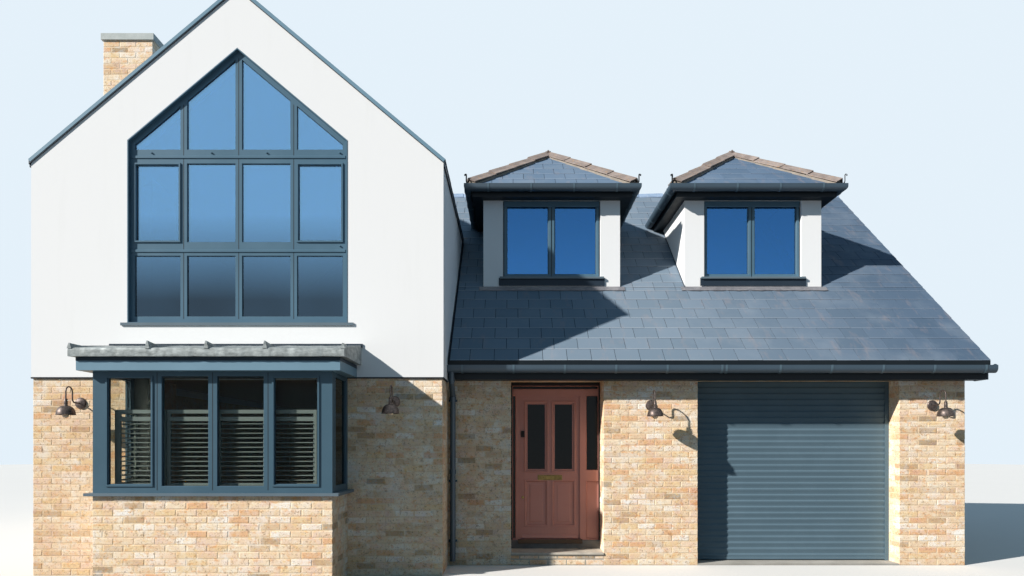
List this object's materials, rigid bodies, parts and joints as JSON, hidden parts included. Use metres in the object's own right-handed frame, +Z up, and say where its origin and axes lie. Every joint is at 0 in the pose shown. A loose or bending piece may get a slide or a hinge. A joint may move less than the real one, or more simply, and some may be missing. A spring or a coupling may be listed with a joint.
{
  "type": "detached house",
  "caption": "Detached house with a rendered gable over brick, a glazed gable window, a box bay, hipped dormers in a slate roof, a hinged front door and a closed garage shutter.",
  "frame": {"origin": "centre of the bounding box on the ground plane under the house", "axes": "+X along the front to the right, +Y from the front to the rear, +Z up"},
  "size_m": [11.493, 9.505, 7.105],
  "materials": {
    "concrete_floor": "power floated concrete",
    "timber_floor": "timber boards over a plastered ceiling",
    "stock_brick": "reclaimed yellow stock brick",
    "white_render": "fine white render",
    "roof_slate": "dark blue-grey slate",
    "ridge_clay": "weathered grey clay",
    "hip_clay": "weathered brown-grey clay",
    "trim_metal": "satin blue-grey",
    "eaves_paint": "satin anthracite paint",
    "gutter_metal": "satin anthracite",
    "window_metal": "satin blue-grey",
    "window_glass": "clear",
    "shutter_paint": "satin dark grey paint",
    "roof_lead": "weathered streaked lead sheet",
    "step_stone": "pale sawn stone",
    "door_paint": "satin mauve-brown paint",
    "door_glass": "dark clear",
    "door_brass": "aged brass",
    "shutter_metal": "satin anthracite",
    "cap_concrete": "weathered concrete",
    "lamp_metal": "antique pewter"
  },
  "bodies": {
    "house": {"ground_floor": "concrete_floor", "upper_floor": "timber_floor", "gable_front_wall_lower": "stock_brick", "gable_front_wall_upper": "white_render", "gable_side_walls_lower": "stock_brick", "gable_side_walls_upper": "white_render", "gable_rear_wall_lower": "stock_brick", "gable_rear_wall_upper": "white_render", "main_front_piers": "stock_brick", "main_front_lintel": "stock_brick", "main_end_wall": "stock_brick", "main_rear_wall": "stock_brick", "main_roof_front": "roof_slate", "main_roof_rear": "roof_slate", "gable_roof": "roof_slate", "dormer_roofs": "roof_slate", "ridge_tiles": "ridge_clay", "dormer_hip_tiles": "hip_clay", "verge_trims": "trim_metal", "eaves_boards": "eaves_paint", "gutters": "gutter_metal", "downpipes": "gutter_metal", "dormer_walls": "white_render", "casement_frames": "window_metal", "casement_glass": "window_glass", "gable_window_frame": "window_metal", "gable_window_glass": "window_glass", "window_sills": "window_metal", "bay_plinth": "stock_brick", "bay_window_frame": "window_metal", "bay_window_glass": "window_glass", "bay_shutters": "shutter_paint", "bay_fascia": "trim_metal", "bay_roof": "roof_lead", "entrance_step": "step_stone", "entrance_frame": "door_paint", "entrance_glass": "door_glass", "garage_shutter": "shutter_metal", "garage_guides": "shutter_metal", "chimney_stack": "stock_brick", "chimney_cap": "cap_concrete", "wall_lamps": "lamp_metal"},
    "front_door": {"front_door_leaf": "door_paint", "front_door_glass": "door_glass", "front_door_furniture": "door_brass"}
  },
  "joints": [
    {"name": "front_door_hinge", "type": "hinge", "parent": "house", "child": "front_door", "pos_m": [0.738, -2.7695, 1.21], "axis": [0, 0, -1], "range_deg": [0, 90]}
  ]
}
